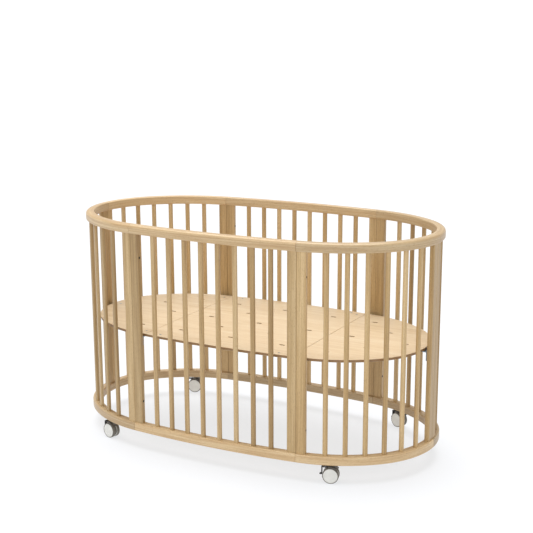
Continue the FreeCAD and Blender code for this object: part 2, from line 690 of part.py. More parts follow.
def board_blank(name, left, long):
    box = doc.addObject("Part::Box", name + "_limits")
    bind(box, Length=long, Width=cell("oval_width"), Height=cell("base_thick"),
         Placement__Base__x=left, Placement__Base__y="-%s / 2" % cell("oval_width"),
         Placement__Base__z="%s - %s" % (cell("base_top"), cell("base_thick")))
    common = doc.addObject("Part::MultiCommon", name + "_blank")
    common.Shapes = [sheet_blank, box]
    return common


def eased(name, source):
    """Long outside edges of a board rounded over."""
    doc.recompute()
    made = doc.addObject("Part::Fillet", name)
    made.Base = source
    r = val("base_round")
    tall = lambda e: abs(e.BoundBox.ZLength) < 1e-6
    made.Edges = [(n, r, r) for n, e in enumerate(source.Shape.Edges, 1) if tall(e) and e.Length > 1]
    doc.recompute()
    return made


# ---------------------------------------------------------------- brackets and their screws
EDGE_INSET = MID + val("post_thick") / 2          # outer face of the rails to the inner face of the posts
UNDER = val("base_top") - val("base_thick")
T = val("bracket_thick")


def bracket(plate_length, shift):
    """Angle: upright flange on the post, plate under the base. Local Y is along the wall, X points outwards."""
    vec = FreeCAD.Vector
    wide, hand = val("bracket_plate_width"), val("bracket_tongue")
    start = val("base_inset") - EDGE_INSET + val("bracket_cover")
    plate = Part.makeBox(wide - start, plate_length, T, vec(-wide, -plate_length / 2 - shift, UNDER - T))
    plate = plate.fuse(Part.makeBox(wide, hand, T, vec(-wide, -hand / 2, UNDER - T)))
    long, tall = val("bracket_flange_length"), val("bracket_flange_height")
    flange = Part.makeBox(T, long, tall, vec(-T, -long / 2, UNDER - tall))
    shape = plate.fuse(flange).removeSplitter()
    upright = [e for e in shape.Edges if e.BoundBox.ZLength > T - 0.01 and e.BoundBox.XMin < -wide + 0.01
               and e.BoundBox.ZLength < T + 0.01]
    return shape.makeFillet(6, upright)


def crossed(shape, top):
    """The shape with a cross recess cut down from the given height."""
    vec = FreeCAD.Vector
    for long, short in ((4.4, 0.9), (0.9, 4.4)):
        shape = shape.cut(Part.makeBox(long, short, 1.4, vec(-long / 2, -short / 2, top - 0.9)))
    return shape.removeSplitter()


def domed_screw(shank_length):
    """Screw on its own Z axis: domed head above zero, shank below."""
    r, rise = val("screw_head") / 2, val("screw_head_rise")
    ball = (r * r + rise * rise) / (2 * rise)
    dome = Part.makeSphere(ball, FreeCAD.Vector(0, 0, rise - ball))
    slab = Part.makeCylinder(r, rise)
    shank = Part.makeCylinder(val("screw_shank") / 2, shank_length, FreeCAD.Vector(0, 0, -shank_length))
    return crossed(slab.common(dome).fuse(shank), rise)


def countersunk(extra, length):
    """Flat-headed screw on its own Z axis, head just below zero; with a gap in extra it is the hole for one."""
    vec = FreeCAD.Vector
    r, shank, sink = val("screw_head") / 2 + extra, val("screw_shank") / 2 + extra, val("screw_sink")
    cone = Part.makeCone(shank, r, r - shank, vec(0, 0, shank - r - sink))
    return cone.fuse(Part.makeCylinder(shank, length, vec(0, 0, -length)))


def wall_frame(seam):
    """Frame on the inner face of a double post: X outwards, Y along the wall."""
    x, y, turn = at_run(SEAMS[seam], EDGE_INSET)
    return standing(x, y, 0, 90 - math.degrees(turn))


def corner_copies(shape):
    spin = standing(0, 0, 0, 180)
    twin = shape.mirror(FreeCAD.Vector(), FreeCAD.Vector(1, 0, 0))
    return [shape, moved(shape, spin), twin, moved(twin, spin)]


def board_hole():
    """Drilling through base and bracket plate with the seat of the flat head, on the screw's own axis."""
    gap = val("screw_clearance")
    mouth = Part.makeCylinder(val("screw_head") / 2 + gap, 1, FreeCAD.Vector(0, 0, -val("screw_sink")))
    return countersunk(gap, val("base_thick") + 3 * T).fuse(mouth).removeSplitter()


wide = val("bracket_plate_width")
shift = val("bracket_shift")
side_frame, end_frame = wall_frame("side"), wall_frame("end")
side_bracket = bracket(val("bracket_plate_length"), -shift)
end_bracket = bracket(val("end_plate_length"), 0)
plate_half = val("bracket_plate_length") / 2
split_y = side_frame.inverse().multVec(FreeCAD.Vector(val("base_split"), side_frame.Base.y, 0)).y
SIDE_SCREWS = [(-wide + 14, split_y - 22), (-wide + 14, split_y + 22), (-wide + 26, split_y + 52)]
END_SCREWS = [(-wide + 14, 0.0)]
screw_down = crossed(countersunk(0, val("base_thick") + T), -val("screw_sink"))
screw_in = domed_screw(T + val("screw_bite"))
screw_seat = board_hole()
board_screws, drillings = [], []
for frame, points in ((side_frame, SIDE_SCREWS), (end_frame, END_SCREWS)):
    for px, py in points:
        spot = frame.multVec(FreeCAD.Vector(px, py, 0))
        upright = standing(spot.x, spot.y, val("base_top"), 20 * py)
        pieces = [moved(screw_down, upright), moved(screw_seat, upright)]
        if frame is side_frame:
            board_screws += corner_copies(pieces[0])
            drillings += corner_copies(pieces[1])
        else:
            for spin in (0, 180):
                board_screws.append(moved(pieces[0], standing(0, 0, 0, spin)))
                drillings.append(moved(pieces[1], standing(0, 0, 0, spin)))
drilled = doc.addObject("Part::Feature", "screw_holes")
drilled.Shape = Part.makeCompound(drillings)

flange_screws, flange_holes = [], []
for frame, copies in ((side_frame, 4), (end_frame, 2)):
    for py in (-18, 18):
        lie = FreeCAD.Placement(FreeCAD.Vector(-T, py, UNDER - val("bracket_flange_height") + 14),
                                FreeCAD.Rotation(FreeCAD.Vector(0, 1, 0), -90))
        made = moved(moved(screw_in, lie), frame)
        radius = val("screw_shank") / 2 + val("screw_clearance")
        drill = Part.makeCylinder(radius, T + val("screw_bite") + 2, FreeCAD.Vector(0, 0, -T - val("screw_bite") - 1))
        bore = moved(moved(drill, lie), frame)
        if copies == 4:
            flange_screws += corner_copies(made)
            flange_holes += corner_copies(bore)
        else:
            flange_screws += [made, moved(made, standing(0, 0, 0, 180))]
            flange_holes += [bore, moved(bore, standing(0, 0, 0, 180))]
all_holes = Part.makeCompound(drillings + flange_holes)

plates = corner_copies(moved(side_bracket, side_frame))
plates += [moved(end_bracket, end_frame), moved(moved(end_bracket, end_frame), standing(0, 0, 0, 180))]
for label, shape in (("base_brackets", Part.makeCompound([p.cut(all_holes) for p in plates])),
                     ("base_screws", Part.makeCompound(board_screws)),
                     ("bracket_screws", Part.makeCompound(flange_screws))):
    feature = doc.addObject("Part::Feature", label)
    feature.Shape = shape
    NODES[label] = feature

# the half posts take the flange screws
wall_holes = doc.addObject("Part::Feature", "flange_screw_holes")
wall_holes.Shape = Part.makeCompound(flange_holes)
for label in [n for n in NODES if n.startswith("post_")]:
    plain = NODES[label]
    plain.Label = label + "_undrilled"
    node = cut(label + "_drilled", plain, wall_holes)
    node.Label = label
    NODES[label] = node

limit = cell("base_split")
gap = cell("base_gap")
for label, board, left, long in (
        ("base_middle", "middle", "-%s + %s" % (limit, gap), "2 * (%s - %s)" % (limit, gap)),
        ("base_right", "right", "%s + %s" % (limit, gap), cell("oval_length") + " / 2")):
    blank = eased(board + "_board_eased", board_blank(board + "_board", left, long))
    made = cut(board + "_board", blank, slots(board), drilled)
    copy_node(label, made)
    if board == "right":
        mirror_node("base_left", made, MIRROR_X)
doc.recompute()


# ---------------------------------------------------------------- casters, designed about the stem axis
AXLE = "-" + cell("trail")


def across(name, radius, width, turn=-90):
    """Cylinder lying across the caster, centred on the axle."""
    made = cylinder(name, radius, width)
    made.Placement = FreeCAD.Placement(FreeCAD.Vector(), FreeCAD.Rotation(FreeCAD.Vector(1, 0, 0), turn))
    bind(made, Placement__Base__x=AXLE, Placement__Base__z=cell("axle_height"),
         Placement__Base__y="-(%s) / 2" % width)
    return made


hood_in = "(%s / 2 + %s)" % (cell("wheel_diameter"), cell("hood_clearance"))
hood_out = "(%s + %s)" % (hood_in, cell("hood_thick"))
pair_width = "(%s + 2 * %s + 2 * %s)" % (cell("plate_width"), cell("side_clearance"), cell("wheel_width"))
plate_gap = "(%s + 2 * %s)" % (cell("plate_width"), cell("side_clearance"))


def sector(name, start, stop, reach):
    """Upright slice of space round the axle between two angles, as wide as the caster."""
    vec = FreeCAD.Vector
    steps = 12
    span = [math.radians(start + (stop - start) * k / steps) for k in range(steps + 1)]
    points = [vec(0, 0, 0)] + [vec(reach * math.cos(a), 0, reach * math.sin(a)) for a in span] + [vec(0, 0, 0)]
    face = Part.Face(Part.makePolygon(points))
    solid = face.extrude(vec(0, 60, 0))
    feature = doc.addObject("Part::Feature", name)
    feature.Shape = solid
    feature.Placement = FreeCAD.Placement(vec(-val("trail"), -30, val("axle_height")), FreeCAD.Rotation())
    return feature


def common(name, *shapes):
    made = doc.addObject("Part::MultiCommon", name)
    made.Shapes = list(shapes)
    return made


hood_ring = cut("hood_ring", across("hood_outside", hood_out, pair_width), across("hood_inside", hood_in, pair_width))
hood = common("hood", hood_ring, sector("hood_reach", val("hood_front"), val("hood_back"), 60))
web = common("web", across("web_disc", hood_out, cell("plate_width")),
             sector("web_reach", val("hood_front"), val("lever_top") + 7, 60))
plate = across("plate", cell("plate_radius"), cell("plate_width"))
boss = cylinder("boss_bar", cell("boss_diameter") + " / 2", "%s - %s" % (cell("boss_top"), cell("axle_height")))
bind(boss, Placement__Base__z=cell("axle_height"))
boss = cut("boss", boss, across("boss_relief", hood_in, pair_width))
pin_place = (val("wheel_diameter") / 2 + val("hood_clearance") + val("hood_thick") / 2)
PIN_X = -val("trail") + pin_place * math.cos(math.radians(val("lever_top")))
PIN_Z = val("axle_height") + pin_place * math.sin(math.radians(val("lever_top")))


def on_pivot(name, radius, width):
    made = cylinder(name, radius, width)
    made.Placement = FreeCAD.Placement(FreeCAD.Vector(PIN_X, 0, PIN_Z), FreeCAD.Rotation(FreeCAD.Vector(1, 0, 0), -90))
    bind(made, Placement__Base__y="-(%s) / 2" % width)
    return made


pin = on_pivot("pivot_pin", cell("pivot_pin") + " / 2", "2 * %s" % cell("pivot_reach"))
stem_bore = cylinder("stem_bore", "%s / 2 + %s" % (cell("stem_diameter"), cell("running_clearance")),
                     "%s + 1" % cell("stem_socket_depth"))
bind(stem_bore, Placement__Base__z="%s - %s" % (cell("boss_top"), cell("stem_socket_depth")))
axle_hole = across("axle_hole", "%s / 2 + 0.02" % cell("axle_diameter"), cell("plate_width") + " + 2")
housing = cut("caster_housing", fuse("housing_blank", hood, web, plate, boss, pin), stem_bore, axle_hole)
axle = across("caster_axle", cell("axle_diameter") + " / 2", "(%s + 2 * %s + 2 * %s)" % (
    cell("plate_width"), cell("side_clearance"), cell("axle_reach")))

flange_z = "%s - %s" % (cell("rail_rise"), cell("stem_flange_thick"))
stem_low = "%s - %s + 0.5" % (cell("boss_top"), cell("stem_socket_depth"))
stem_bar = cylinder("stem_bar", cell("stem_diameter") + " / 2", "%s + %s - (%s)" % (
    cell("rail_rise"), cell("stem_insert"), stem_low))
bind(stem_bar, Placement__Base__z=stem_low)
flange = cylinder("stem_flange", cell("stem_flange") + " / 2", cell("stem_flange_thick"))
bind(flange, Placement__Base__z=flange_z)
stem = fuse("caster_stem", stem_bar, flange)


def wheel():
    """One wheel turned about Z: tread with rounded edges, sunk outer face, blind bore from the inner face."""
    vec = FreeCAD.Vector
    r, w, e = val("wheel_diameter") / 2, val("wheel_width"), val("wheel_round")
    rim, dish = r - val("wheel_rim"), w - val("wheel_dish")
    hole_r, hole_d = val("axle_diameter") / 2 + val("running_clearance"), val("wheel_bore_depth")
    q = e * (1 - math.sqrt(0.5))
    line = lambda a, b: Part.LineSegment(vec(a[0], 0, a[1]), vec(b[0], 0, b[1])).toShape()
    arc = lambda a, b, c: Part.Arc(*[vec(p[0], 0, p[1]) for p in (a, b, c)]).toShape()
    edges = [line((0, hole_d), (hole_r, hole_d)), line((hole_r, hole_d), (hole_r, 0)), line((hole_r, 0), (r - 1, 0)),
             line((r - 1, 0), (r, 1)), line((r, 1), (r, w - e)), arc((r, w - e), (r - q, w - q), (r - e, w)),
             line((r - e, w), (rim, w)), line((rim, w), (rim - dish * 0.08, dish)),
             line((rim - dish * 0.08, dish), (0, dish)), line((0, dish), (0, hole_d))]
    return Part.Face(Part.Wire(edges)).revolve(vec(), vec(0, 0, 1), 360)


def wheel_pair():
    one = wheel()
    inner = val("plate_width") / 2 + val("side_clearance")
    solids = []
    for side in (-1, 1):
        lie = FreeCAD.Placement(FreeCAD.Vector(-val("trail"), side * inner, val("axle_height")),
                                FreeCAD.Rotation(FreeCAD.Vector(1, 0, 0), -90 * side))
        solids.append(moved(one, lie))
    feature = doc.addObject("Part::Feature", "caster_wheels")
    feature.Shape = Part.makeCompound(solids)
    return feature


wheels = wheel_pair()
lever_in = "(%s / 2 + %s)" % (cell("wheel_diameter"), cell("lever_clearance"))
behind = "-%s - %s - %s" % (cell("trail"), lever_in, cell("lever_thick"))      # outer face of the upright plate
foot_z = "%s + %s" % (cell("axle_height"), cell("lever_low"))


def lever_box(name, length, height, x, z):
    """Block as wide as the lever, given by its length, height and lower corner."""
    made = doc.addObject("Part::Box", name)
    bind(made, Length=length, Width=cell("lever_width"), Height=height, Placement__Base__x=x,
         Placement__Base__y="-%s / 2" % cell("lever_width"), Placement__Base__z=z)
    return made


strip = lever_box("lever_plate", cell("lever_thick"), cell("lever_height"), behind, foot_z)
arm = lever_box("lever_arm", "%s + %s + %s - %.6f" % (lever_in, cell("lever_thick"), cell("trail"), -PIN_X),
                cell("lever_thick"), behind, "%.6f - %s / 2" % (PIN_Z, cell("lever_thick")))
foot = lever_box("lever_foot", "%s + %s" % (cell("lever_thick"), cell("lever_foot")), cell("lever_thick"),
                 "%s - %s" % (behind, cell("lever_foot")), foot_z)
eye = on_pivot("lever_eye", cell("lever_eye"), "2 * %s" % cell("pivot_reach"))
pin_bore = on_pivot("lever_bore", "%s / 2 + %s" % (cell("pivot_pin"), cell("running_clearance")), "30")
notch = across("lever_notch", "60", plate_gap)
notch = common("lever_notch_cut", notch, sector("lever_notch_reach", 90, val("lever_top") + 14, 60))
relief = across("lever_relief", lever_in, cell("lever_width"))
lever = cut("caster_lever", fuse("lever_blank", strip, arm, foot, eye), relief, pin_bore, notch)
doc.recompute()

CORNERS = {"back_right": (1, 1), "front_right": (1, -1), "back_left": (-1, 1), "front_left": (-1, -1)}
for corner, (sx, sy) in CORNERS.items():
    for piece, design in (("stem", stem), ("housing", housing), ("axle", axle), ("wheels", wheels), ("brake", lever)):
        label = "caster_%s_%s" % (corner, piece)
        node = doc.addObject("Part::Compound", label)
        node.Links = [design]
        node.Placement = standing(sx * STEM_X, sy * STEM_Y, 0, val("swivel_" + corner))
        NODES[label] = node
doc.recompute()

# ---------------------------------------------------------------- check and export
faults = []
for obj in doc.Objects:
    if "Invalid" in obj.State or "Error" in obj.State:
        faults.append("%s is %s" % (obj.Name, obj.State))
for label, node in NODES.items():
    shape = node.Shape
    if shape.isNull() or not shape.isValid() or not shape.Solids or shape.Volume < 1:
        faults.append("%s has no valid solid" % label)
        continue
    shape.exportStep("parts/%s.step" % label)
if faults:
    raise SystemExit("\n".join(faults))
print("%d nodes" % len(NODES))
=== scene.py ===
# %% [markdown]
# An oval baby crib in oiled beech. Six wall panels stand round an oval, each with a top rail, a bottom rail,
# slats and two half posts. A thin slotted plywood base hangs at mid height, and four braked twin-wheel
# casters carry it all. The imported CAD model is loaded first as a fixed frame: it says where every piece is,
# and this script gives each piece its surface, its finish and its light.

# %% Load the frame
import json
import math
import bpy
import numpy as np
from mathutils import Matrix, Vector


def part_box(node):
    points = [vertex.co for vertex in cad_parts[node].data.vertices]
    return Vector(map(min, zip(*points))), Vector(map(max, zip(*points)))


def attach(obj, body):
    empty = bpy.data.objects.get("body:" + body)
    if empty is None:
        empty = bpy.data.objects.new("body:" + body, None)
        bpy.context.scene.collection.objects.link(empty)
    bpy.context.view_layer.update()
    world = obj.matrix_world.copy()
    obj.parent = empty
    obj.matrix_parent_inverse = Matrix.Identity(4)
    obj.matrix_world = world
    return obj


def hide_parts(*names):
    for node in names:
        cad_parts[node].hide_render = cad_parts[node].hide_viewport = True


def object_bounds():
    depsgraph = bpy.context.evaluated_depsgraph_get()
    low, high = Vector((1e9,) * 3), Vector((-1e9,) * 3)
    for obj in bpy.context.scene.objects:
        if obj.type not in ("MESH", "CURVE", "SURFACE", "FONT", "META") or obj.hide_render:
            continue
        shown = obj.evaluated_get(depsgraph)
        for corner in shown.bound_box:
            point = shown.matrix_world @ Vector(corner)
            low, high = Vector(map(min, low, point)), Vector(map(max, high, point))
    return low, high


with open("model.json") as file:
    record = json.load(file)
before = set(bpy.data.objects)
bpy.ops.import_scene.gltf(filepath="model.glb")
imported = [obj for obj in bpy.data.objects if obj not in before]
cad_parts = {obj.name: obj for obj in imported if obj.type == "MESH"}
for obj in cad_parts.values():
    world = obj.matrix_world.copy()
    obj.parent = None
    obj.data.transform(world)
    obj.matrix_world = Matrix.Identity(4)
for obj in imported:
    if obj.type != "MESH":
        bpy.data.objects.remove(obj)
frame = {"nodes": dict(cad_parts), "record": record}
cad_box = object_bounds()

NODES = frame["nodes"]
MM = 0.001

# %% [markdown]
# Two small helpers carry the whole script. Paint charts give colours as sRGB hex values, but shaders work in
# linear light, so one function converts them. The other adds a shader node with its settings and its links in
# one call, which keeps each material short enough to read as a recipe.


# %% Colour and node helpers
def hex_rgb(code):
    """Linear colour of an sRGB hex value: each channel is raised by the sRGB curve."""
    c = np.array([int(code[i:i + 2], 16) for i in (1, 3, 5)]) / 255
    return tuple(map(float, np.where(c <= 0.04045, c / 12.92, ((c + 0.055) / 1.055) ** 2.4))) + (1.0,)


def add(mat, kind, inputs=(), **settings):
    """Adds a node. Settings are its properties; inputs maps a socket to a value or to another node's output."""
    tree = mat.node_tree
    node = tree.nodes.new("ShaderNode" + kind)
    for key, value in settings.items():
        setattr(node, key, value)
    for key, value in dict(inputs).items():
        socket = node.inputs[key]
        if isinstance(value, bpy.types.NodeSocket):
            tree.links.new(value, socket)
        else:
            socket.default_value = value
    return node


def new_material(name):
    """Empty material with a Principled shader joined to its output, and that shader."""
    mat = bpy.data.materials.new(name)
    mat.use_nodes = True
    mat.node_tree.nodes.clear()
    shader = add(mat, "BsdfPrincipled")
    add(mat, "OutputMaterial", {"Surface": shader.outputs[0]})
    return mat, shader


def ramp(mat, value, stops):
    """Colour ramp node: stops are (position, hex or linear colour)."""
    node = add(mat, "ValToRGB", {"Fac": value})
    elements = node.color_ramp.elements
    while len(elements) < len(stops):
        elements.new(0.5)
    for element, (position, colour) in zip(elements, stops):
        element.position = position
        element.color = hex_rgb(colour) if isinstance(colour, str) else colour
    return node.outputs["Color"]


# %% [markdown]
# Beech is a pale, even wood. What the eye reads as beech is three things: soft streaks a few millimetres wide
# along the grain, short darker flecks where the rays are cut, and boards that differ a little from each
# other. All three come from noise stretched along the grain. The curved rails carry their own coordinates,
# measured along the rail, so that their grain follows the bend; the upright pieces use plain object
# coordinates, with the grain along Z. A board's own tone multiplies every colour of its recipe, as a joiner's
# stack holds paler and deeper boards of one tree. The deepest tone is no board's own: it is painted shade,
# given to the bottom rails that lie in the shadow of the base.

# %% Beech, planed and oiled
STREAK = 4.5 * MM          # width of a growth streak
STREAK_LONG = 240.0 * MM   # its length along the grain
FLECK = 0.9 * MM           # ray fleck; the real 0.4 mm would not show at this distance
FLECK_LONG = 9.0 * MM
DRIFT = 48.0 * MM          # distance across the grain over which a board's tone drifts
DRIFT_LONG = 1.5           # and along it, m
# The rails' recipe is paler and less saturated than the uprights': partly other boards, partly a painted
# highlight for the overhead light on the rails' upper faces.
RAIL_BEECH_WITH_PAINTED_LIGHT = {"light": "#d3bb93", "mid": "#c5a87d", "dark": "#b7966b", "fleck": "#8c6a44"}
UPRIGHT_BEECH = {"light": "#ccb184", "mid": "#b59665", "dark": "#997a4c", "fleck": "#7a5b35"}


def toned(code, tone):
    """Linear colour of a hex value, multiplied by a board's tone."""
    r, g, b, _ = hex_rgb(code)
    return (min(1.0, r * tone), min(1.0, g * tone), min(1.0, b * tone), 1.0)


def beech(name, along, shades, shift=(0.0, 0.0, 0.0), tone=1.0, drift=0.5):
    """Oiled beech: streaks, drift and flecks, each noise divided by its real width across and length along."""
    mat, shader = new_material(name)
    if along == "rail":
        source, axis = add(mat, "Attribute", attribute_name="grain").outputs["Vector"], 0
    else:
        source, axis = add(mat, "TexCoord").outputs["Object"], along

    def stretched(across, length):
        scale = [1 / across] * 3
        scale[axis] = 1 / length
        return add(mat, "Mapping", {"Vector": source, "Location": shift, "Scale": scale}).outputs[0]

    streak = add(mat, "TexNoise", {"Vector": stretched(STREAK, STREAK_LONG), "Scale": 1.0, "Detail": 4.0,
                                   "Roughness": 0.6, "Distortion": 0.5})
    board = add(mat, "TexNoise", {"Vector": stretched(DRIFT, DRIFT_LONG), "Scale": 1.0, "Detail": 1.0})
    fine = add(mat, "TexNoise", {"Vector": stretched(FLECK, FLECK_LONG), "Scale": 1.0, "Detail": 1.0})
    mix = add(mat, "Mix", {"Factor": drift, "A": streak.outputs["Fac"], "B": board.outputs["Fac"]},
              data_type="FLOAT")
    colour = ramp(mat, mix.outputs[0], [(0.36, toned(shades["dark"], tone)), (0.5, toned(shades["mid"], tone)),
                                        (0.64, toned(shades["light"], tone))])
    spots = add(mat, "MapRange", {"Value": fine.outputs["Fac"], "From Min": 0.58, "From Max": 0.72,
                                  "To Min": 0.0, "To Max": 0.5})
    flecked = add(mat, "Mix", {"Factor": spots.outputs[0], "A": colour, "B": toned(shades["fleck"], tone)},
                  data_type="RGBA")
    links = mat.node_tree.links
    links.new(flecked.outputs[2], shader.inputs["Base Color"])
    rough = add(mat, "MapRange", {"Value": streak.outputs["Fac"], "To Min": 0.40, "To Max": 0.54})
    links.new(rough.outputs[0], shader.inputs["Roughness"])
    grain = add(mat, "Bump", {"Height": streak.outputs["Fac"], "Strength": 0.25, "Distance": 0.0003})
    pores = add(mat, "Bump", {"Height": fine.outputs["Fac"], "Strength": 0.2, "Distance": 0.00015,
                              "Normal": grain.outputs[0]})
    links.new(pores.outputs[0], shader.inputs["Normal"])
    shader.inputs["IOR"].default_value = 1.5
    shader.inputs["Coat Weight"].default_value = 0.30
    shader.inputs["Coat Roughness"].default_value = 0.28
    return mat


# %% Boards of the stack, and one tone of painted shade
TONES = {"pale": 1.12, "even": 1.0, "deep": 0.88, "deepest_painted_shade": 0.74}
RAIL_WOOD = {t: beech("beech_rails_oiled_" + t, "rail", RAIL_BEECH_WITH_PAINTED_LIGHT, tone=k, drift=0.15)
             for t, k in TONES.items()}
POST_WOOD = {t: beech("beech_posts_oiled_" + t, 2, UPRIGHT_BEECH, (3.7 * k, 1.9 * k, 0.6), k)
             for t, k in TONES.items()}
SLAT_WOOD = {t: beech("beech_slats_oiled_" + t, 2, UPRIGHT_BEECH, (7.1 * k, 4.3, 0.2), k)
             for t, k in TONES.items()}
print("beech boards:", ", ".join(TONES))

# %% [markdown]
# The mattress base is thin beech plywood under a clear lacquer: a rotary-cut face with long, faint, slightly
# wavy figure, paler than the solid wood, and an edge where the crossed plies show as thin dark and light
# lines.

# %% Plywood, lacquered
PLY = 1.4 * MM             # thickness of one veneer
FIGURE = 22.0 * MM         # width of a band of the rotary-cut figure
FIGURE_LONG = 300.0 * MM   # its length along the grain
PORE = 1.1 * MM            # width of the short dark marks
PORE_LONG = 10.0 * MM


def plywood(name):
    """Face figure from stretched noise along X; on upright faces the veneers show as bands of height."""
    mat, shader = new_material(name)
    place = add(mat, "TexCoord").outputs["Object"]
    long = add(mat, "Mapping", {"Vector": place, "Scale": (1 / FIGURE_LONG, 1 / FIGURE, 1.0)}).outputs[0]
    figure = add(mat, "TexNoise", {"Vector": long, "Scale": 1.0, "Detail": 5.0, "Roughness": 0.6,
                                   "Distortion": 1.2})
    fine_at = add(mat, "Mapping", {"Vector": place, "Scale": (1 / PORE_LONG, 1 / PORE, 1.0)}).outputs[0]
    fine = add(mat, "TexNoise", {"Vector": fine_at, "Scale": 1.0, "Detail": 1.0})
    face = ramp(mat, figure.outputs["Fac"], [(0.30, "#c4aa84"), (0.5, "#ceb693"), (0.72, "#d6c3a4")])
    spots = add(mat, "MapRange", {"Value": fine.outputs["Fac"], "From Min": 0.62, "From Max": 0.75,
                                  "To Min": 0.0, "To Max": 0.30})
    face = add(mat, "Mix", {"Factor": spots.outputs[0], "A": face, "B": hex_rgb("#a98557")},
               data_type="RGBA").outputs[2]
    height = add(mat, "SeparateXYZ", {"Vector": place}).outputs["Z"]
    layer = add(mat, "Math", {0: height, 1: math.pi / PLY}, operation="MULTIPLY").outputs[0]
    band = add(mat, "Math", {0: layer}, operation="SINE").outputs[0]
    edge = ramp(mat, add(mat, "MapRange", {"Value": band, "From Min": -1.0}).outputs[0],
                [(0.35, "#7d5d3a"), (0.65, "#a5825a")])
    up = add(mat, "SeparateXYZ", {"Vector": add(mat, "NewGeometry").outputs["Normal"]}).outputs["Z"]
    flat = add(mat, "Math", {0: up}, operation="ABSOLUTE").outputs[0]
    on_face = add(mat, "MapRange", {"Value": flat, "From Min": 0.35, "From Max": 0.6}).outputs[0]
    colour = add(mat, "Mix", {"Factor": on_face, "A": edge, "B": face}, data_type="RGBA").outputs[2]
    links = mat.node_tree.links
    links.new(colour, shader.inputs["Base Color"])
    rough = add(mat, "MapRange", {"Value": figure.outputs["Fac"], "To Min": 0.42, "To Max": 0.52}).outputs[0]
    links.new(rough, shader.inputs["Roughness"])
    bump = add(mat, "Bump", {"Height": fine.outputs["Fac"], "Strength": 0.15, "Distance": 0.0001})
    links.new(bump.outputs[0], shader.inputs["Normal"])
    shader.inputs["Coat Weight"].default_value = 0.12
    shader.inputs["Coat Roughness"].default_value = 0.3
    return mat


PLYWOOD = plywood("plywood_beech_lacquered")
print("plywood ready:", PLYWOOD.name)

# %% [markdown]
# The casters are moulded. Nylon comes from the tool with a fine even grain and a dull sheen; the hub discs
# are the same in pale grey, and a little smoother; the treads are soft polyurethane, which scatters light and
# shows no highlight. The caps over the bolt heads are matt black and nearly lightless: their colour is also
# painted shade, for the darkness inside the bolt holes. Steel parts are zinc plated, with a faint bluish
# mottling.


# %% Moulded plastics and plated steel
CLOUD = 20.0 * MM          # distance over which a moulding's tone drifts
CRYSTAL = 3.0 * MM         # size of a patch of zinc crystals


def moulded(name, base, tint, rough, grit=0.8 * MM, bump=0.12):
    """Moulded plastic: base colour with a slight drift in tone, and the mould's fine texture as bump."""
    mat, shader = new_material(name)
    place = add(mat, "TexCoord").outputs["Object"]
    drift = add(mat, "TexNoise", {"Vector": place, "Scale": 1 / CLOUD, "Detail": 2.0})
    skin = add(mat, "TexNoise", {"Vector": place, "Scale": 1 / grit, "Detail": 2.0})
    links = mat.node_tree.links
    links.new(ramp(mat, drift.outputs["Fac"], [(0.3, base), (0.7, tint)]), shader.inputs["Base Color"])
    links.new(add(mat, "MapRange", {"Value": drift.outputs["Fac"], "To Min": rough - 0.04,
                                    "To Max": rough + 0.05}).outputs[0], shader.inputs["Roughness"])
    texture = add(mat, "Bump", {"Height": skin.outputs["Fac"], "Strength": bump, "Distance": 0.0001})
    links.new(texture.outputs[0], shader.inputs["Normal"])
    shader.inputs["IOR"].default_value = 1.52
    return mat


def plated(name, base, tint, rough):
    """Zinc-plated steel: metallic, with a mottled roughness from the plating's crystals."""
    mat, shader = new_material(name)
    place = add(mat, "TexCoord").outputs["Object"]
    crystals = add(mat, "TexNoise", {"Vector": place, "Scale": 1 / CRYSTAL, "Detail": 3.0})
    links = mat.node_tree.links
    links.new(ramp(mat, crystals.outputs["Fac"], [(0.35, base), (0.65, tint)]), shader.inputs["Base Color"])
    links.new(add(mat, "MapRange", {"Value": crystals.outputs["Fac"], "To Min": rough - 0.08,
                                    "To Max": rough + 0.08}).outputs[0], shader.inputs["Roughness"])
    bump = add(mat, "Bump", {"Height": crystals.outputs["Fac"], "Strength": 0.08, "Distance": 0.0001})
    links.new(bump.outputs[0], shader.inputs["Normal"])
    shader.inputs["Metallic"].default_value = 1.0
    return mat


HUB = moulded("nylon_hub_pale_grey_moulded", "#dad9d3", "#e4e3dd", 0.36)
TREAD = moulded("polyurethane_tread_grey_moulded", "#635f57", "#726d64", 0.55)
HOOD = moulded("nylon_hood_grey_brown_moulded", "#544f48", "#605a52", 0.42)
LEVER = moulded("nylon_lever_black_moulded", "#1c1b1a", "#262422", 0.4)
# Matt black caps, near black so that they also paint the shade inside the bolt holes.
CAP_WITH_PAINTED_HOLE_SHADE = moulded("nylon_cap_near_black_painted_hole_shade", "#080707", "#0e0d0c", 0.75)
STEEL = plated("steel_zinc_plated", "#8496a6", "#a3b2c0", 0.34)
print("caster and steel materials ready")

# %% [markdown]
# A rail is one profile carried along an arc path. The oval is made of tangent arcs: a nearly straight side, a
# shoulder and an end. Measuring along the outer face turns every place on the crib into one number, so rails,
# seams and slats share it. Building the rails as swept grids, rather than using the CAD mesh, gives each
# vertex its own coordinate along the grain and lets the sawn ends be eased where two rails meet.

# %% The oval
LENGTH, WIDTH = (cad_box[1][i] - cad_box[0][i] for i in (0, 1))
SIDE_R = 3.113             # radius of the nearly straight side, m
TURN_1, TURN_2 = math.radians(6.0), math.radians(42.0)   # heading where the shoulder begins and ends


def oval_radii():
    """Shoulder and end radius that close the quarter oval, from its two linear closing conditions."""
    s1, c1, s2, c2 = math.sin(TURN_1), math.cos(TURN_1), math.sin(TURN_2), math.cos(TURN_2)
    left = np.array([[s2 - s1, 1 - s2], [c1 - c2, c2]])
    right = np.array([LENGTH / 2 - SIDE_R * s1, WIDTH / 2 - SIDE_R * (1 - c1)])
    return np.linalg.solve(left, right)


